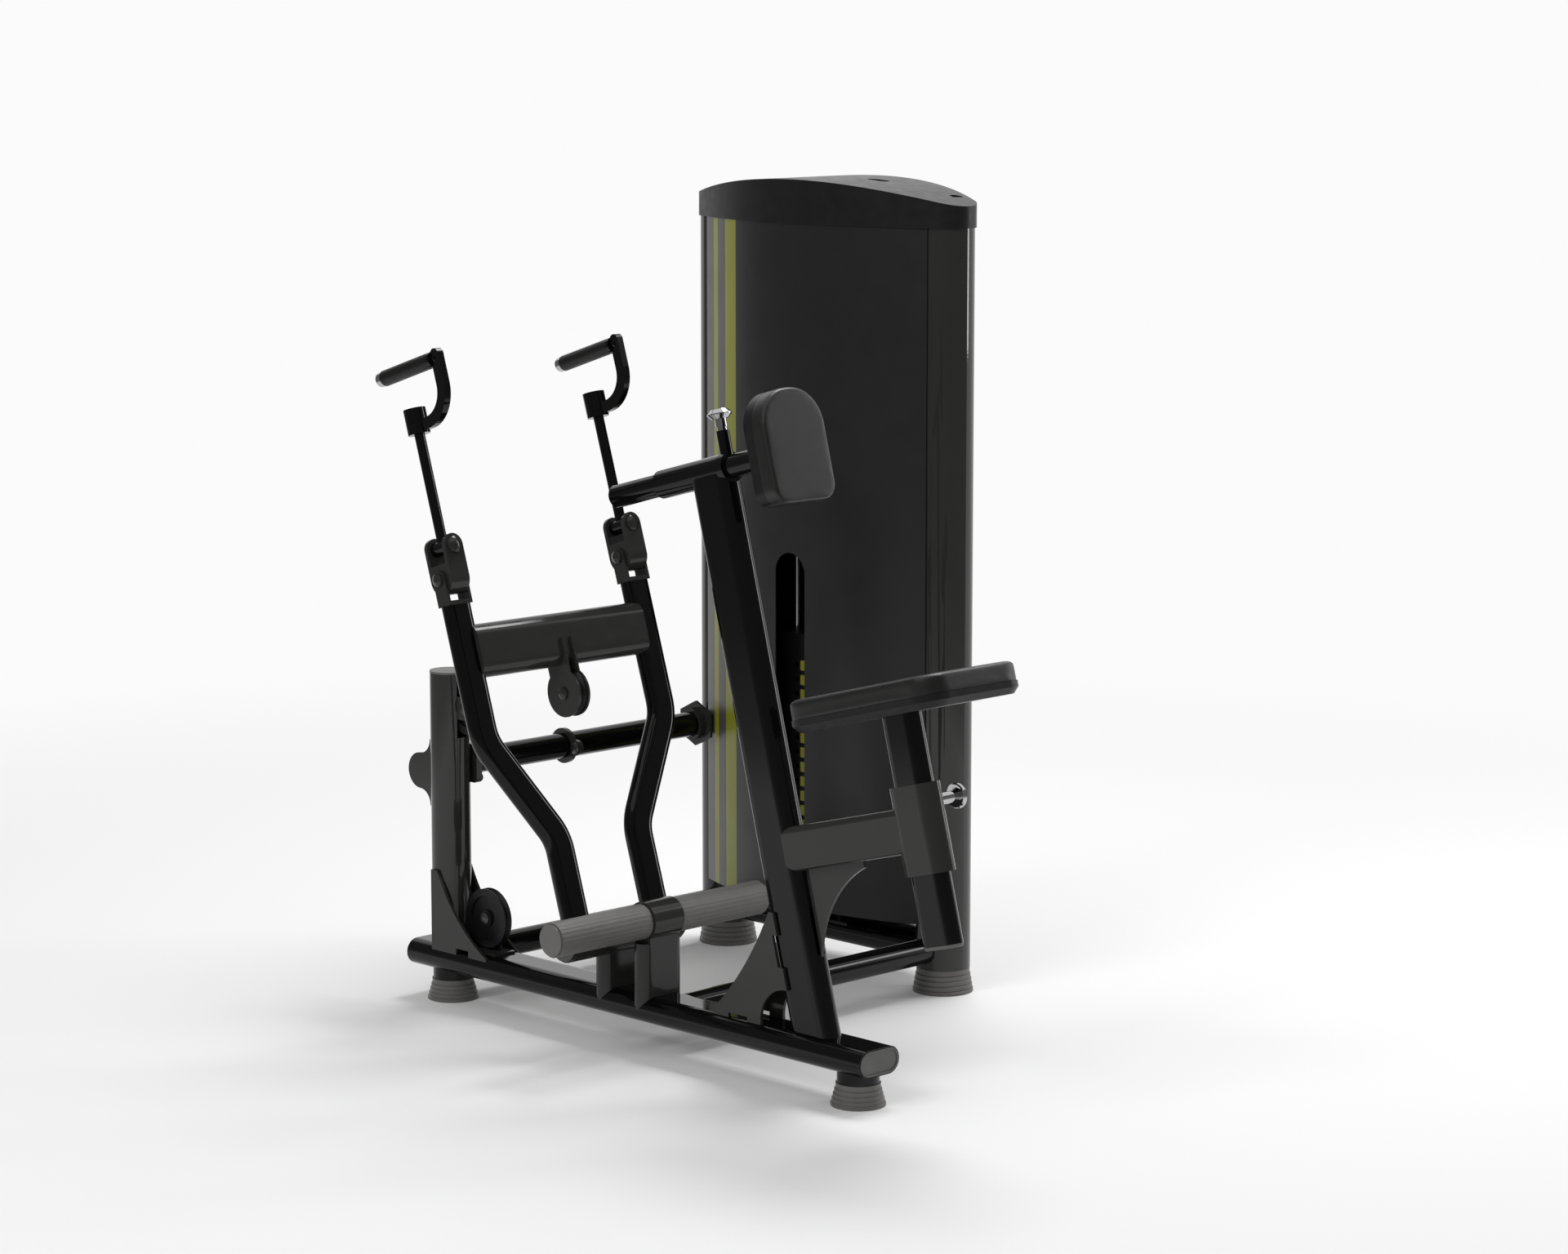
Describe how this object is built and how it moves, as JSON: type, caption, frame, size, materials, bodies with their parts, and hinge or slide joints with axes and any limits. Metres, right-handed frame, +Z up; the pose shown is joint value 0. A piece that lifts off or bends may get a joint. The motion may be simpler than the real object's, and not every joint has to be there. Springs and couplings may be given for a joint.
{
  "type": "seated row machine",
  "caption": "Selectorised seated row: leaning frame with seat and chest pad, swinging arm with jointed handles, and a covered weight tower.",
  "frame": {"origin": "on the floor, under the centre of the rear post's rubber foot", "axes": "+X along the base beam towards the seat, +Y towards the weight tower, +Z up"},
  "size_m": [1.5079, 1.1035, 1.57],
  "materials": {
    "gloss_black": "gloss powder coat",
    "satin_panel": "satin",
    "cap_plastic": "satin moulded",
    "grey_rubber": "matte",
    "black_rubber": "matte",
    "grey_plastic": "satin",
    "chrome": "polished",
    "dark_steel": "blackened",
    "plate_paint": "painted",
    "pulley_nylon": "moulded",
    "vinyl": "satin"
  },
  "bodies": {
    "frame": {"base_beam": "gloss_black", "tube_end_plugs": "grey_plastic", "rear_post": "gloss_black", "gusset_plates": "gloss_black", "rubber_feet": "grey_rubber", "main_upright": "gloss_black", "chest_sleeve": "gloss_black", "seat_beam": "gloss_black", "seat_sleeve": "gloss_black", "foot_rest_post": "gloss_black", "foot_rest_bar": "gloss_black", "foot_rollers": "grey_rubber", "pivot_post": "gloss_black", "pivot_shaft": "dark_steel", "cross_tubes": "gloss_black", "upper_cross_tube": "gloss_black", "tube_flanges": "gloss_black", "frame_bolts": "dark_steel", "tower_posts": "gloss_black", "tower_base_beam": "gloss_black", "tower_head_beam": "gloss_black", "front_panel": "satin_panel", "back_panel": "satin_panel", "tower_cap": "cap_plastic", "guide_rods": "chrome", "stack_buffers": "black_rubber", "resting_plates": "plate_paint"},
    "arm": {"left_arm_tube": "gloss_black", "right_arm_tube": "gloss_black", "arm_crossbar": "gloss_black", "arm_hubs": "gloss_black", "arm_pulley_bracket": "gloss_black", "arm_clevises": "gloss_black"},
    "arm_wheel": {"arm_pulley": "pulley_nylon"},
    "base_wheel": {"base_pulley": "pulley_nylon"},
    "post_wheel": {"post_pulley": "pulley_nylon"},
    "top_wheel": {"top_pulley": "pulley_nylon"},
    "stack": {"top_plate": "plate_paint", "lifted_plates": "plate_paint", "selector_stem": "dark_steel"},
    "selector": {"selector_pin": "dark_steel"},
    "seat": {"seat_post": "gloss_black", "seat_post_plug": "grey_plastic", "seat_base": "cap_plastic", "seat_pad": "vinyl"},
    "seat_lock": {"seat_pin": "chrome"},
    "chest": {"chest_tube": "gloss_black", "chest_backing": "cap_plastic", "chest_pad": "vinyl"},
    "chest_lock": {"chest_pin": "chrome"},
    "left_joint": {"left_knuckle": "gloss_black"},
    "left_stem": {"left_rod": "gloss_black"},
    "left_hand": {"left_handle": "gloss_black", "left_grip": "black_rubber", "left_grip_cap": "chrome"},
    "right_joint": {"right_knuckle": "gloss_black"},
    "right_stem": {"right_rod": "gloss_black"},
    "right_hand": {"right_handle": "gloss_black", "right_grip": "black_rubber", "right_grip_cap": "chrome"}
  },
  "joints": [
    {"name": "arm_swing", "type": "hinge", "parent": "frame", "child": "arm", "pos_m": [0.478, 0, 0.209], "axis": [0, 1, 0], "range_deg": [0, 35]},
    {"name": "stack_lift", "type": "slide", "parent": "frame", "child": "stack", "axis": [0, 0, 1], "range_m": [0, 0.49]},
    {"name": "arm_pulley_spin", "type": "hinge", "parent": "arm", "child": "arm_wheel", "pos_m": [0.34419, 0, 0.64075], "axis": [0, 1, 0], "continuous": true},
    {"name": "base_pulley_spin", "type": "hinge", "parent": "frame", "child": "base_wheel", "pos_m": [0.109, 0, 0.175], "axis": [0, 1, 0], "continuous": true},
    {"name": "post_pulley_spin", "type": "hinge", "parent": "frame", "child": "post_wheel", "pos_m": [0.06, 0, 0.575], "axis": [0, 1, 0], "continuous": true},
    {"name": "top_pulley_spin", "type": "hinge", "parent": "frame", "child": "top_wheel", "pos_m": [0.302, 0.684, 1.345], "axis": [0, 1, 0], "continuous": true},
    {"name": "selector_pull", "type": "slide", "parent": "stack", "child": "selector", "axis": [0, -1, 0], "range_m": [0, 0.06]},
    {"name": "seat_height", "type": "slide", "parent": "frame", "child": "seat", "axis": [-0.2554, 0, 0.9668], "range_m": [0, 0.075]},
    {"name": "seat_pin_plunge", "type": "slide", "parent": "frame", "child": "seat_lock", "axis": [0, 1, 0], "range_m": [-0.006, 0]},
    {"name": "chest_reach", "type": "slide", "parent": "frame", "child": "chest", "axis": [0.9668, 0, 0.2554], "range_m": [0, 0.12]},
    {"name": "chest_pin_plunge", "type": "slide", "parent": "frame", "child": "chest_lock", "axis": [-0.2554, 0, 0.9668], "range_m": [-0.006, 0]},
    {"name": "left_knuckle_tilt", "type": "hinge", "parent": "arm", "child": "left_joint", "pos_m": [0.26876, -0.22, 0.86861], "axis": [0, 1, 0], "range_deg": [0, 40]},
    {"name": "left_rod_spread", "type": "hinge", "parent": "left_joint", "child": "left_stem", "pos_m": [0.25122, -0.22, 0.92389], "axis": [0.9532, 0, 0.3024], "range_deg": [-20, 20]},
    {"name": "left_handle_swivel", "type": "hinge", "parent": "left_stem", "child": "left_hand", "pos_m": [0.17956, -0.22, 1.1498], "axis": [-0.3024, 0, 0.9532], "range_deg": [-90, 90]},
    {"name": "right_knuckle_tilt", "type": "hinge", "parent": "arm", "child": "right_joint", "pos_m": [0.26876, 0.22, 0.86861], "axis": [0, 1, 0], "range_deg": [0, 40]},
    {"name": "right_rod_spread", "type": "hinge", "parent": "right_joint", "child": "right_stem", "pos_m": [0.25122, 0.22, 0.92389], "axis": [0.9532, 0, 0.3024], "range_deg": [-20, 20]},
    {"name": "right_handle_swivel", "type": "hinge", "parent": "right_stem", "child": "right_hand", "pos_m": [0.17956, 0.22, 1.1498], "axis": [-0.3024, 0, 0.9532], "range_deg": [-90, 90]}
  ],
  "couplings": [
    {"joint": "stack_lift", "follows": "arm_swing", "m_per_rad": 0.8},
    {"joint": "arm_pulley_spin", "follows": "arm_swing", "ratio": -22.857},
    {"joint": "base_pulley_spin", "follows": "arm_swing", "ratio": 16},
    {"joint": "post_pulley_spin", "follows": "arm_swing", "ratio": -18.605},
    {"joint": "top_pulley_spin", "follows": "arm_swing", "ratio": 30.769}
  ]
}
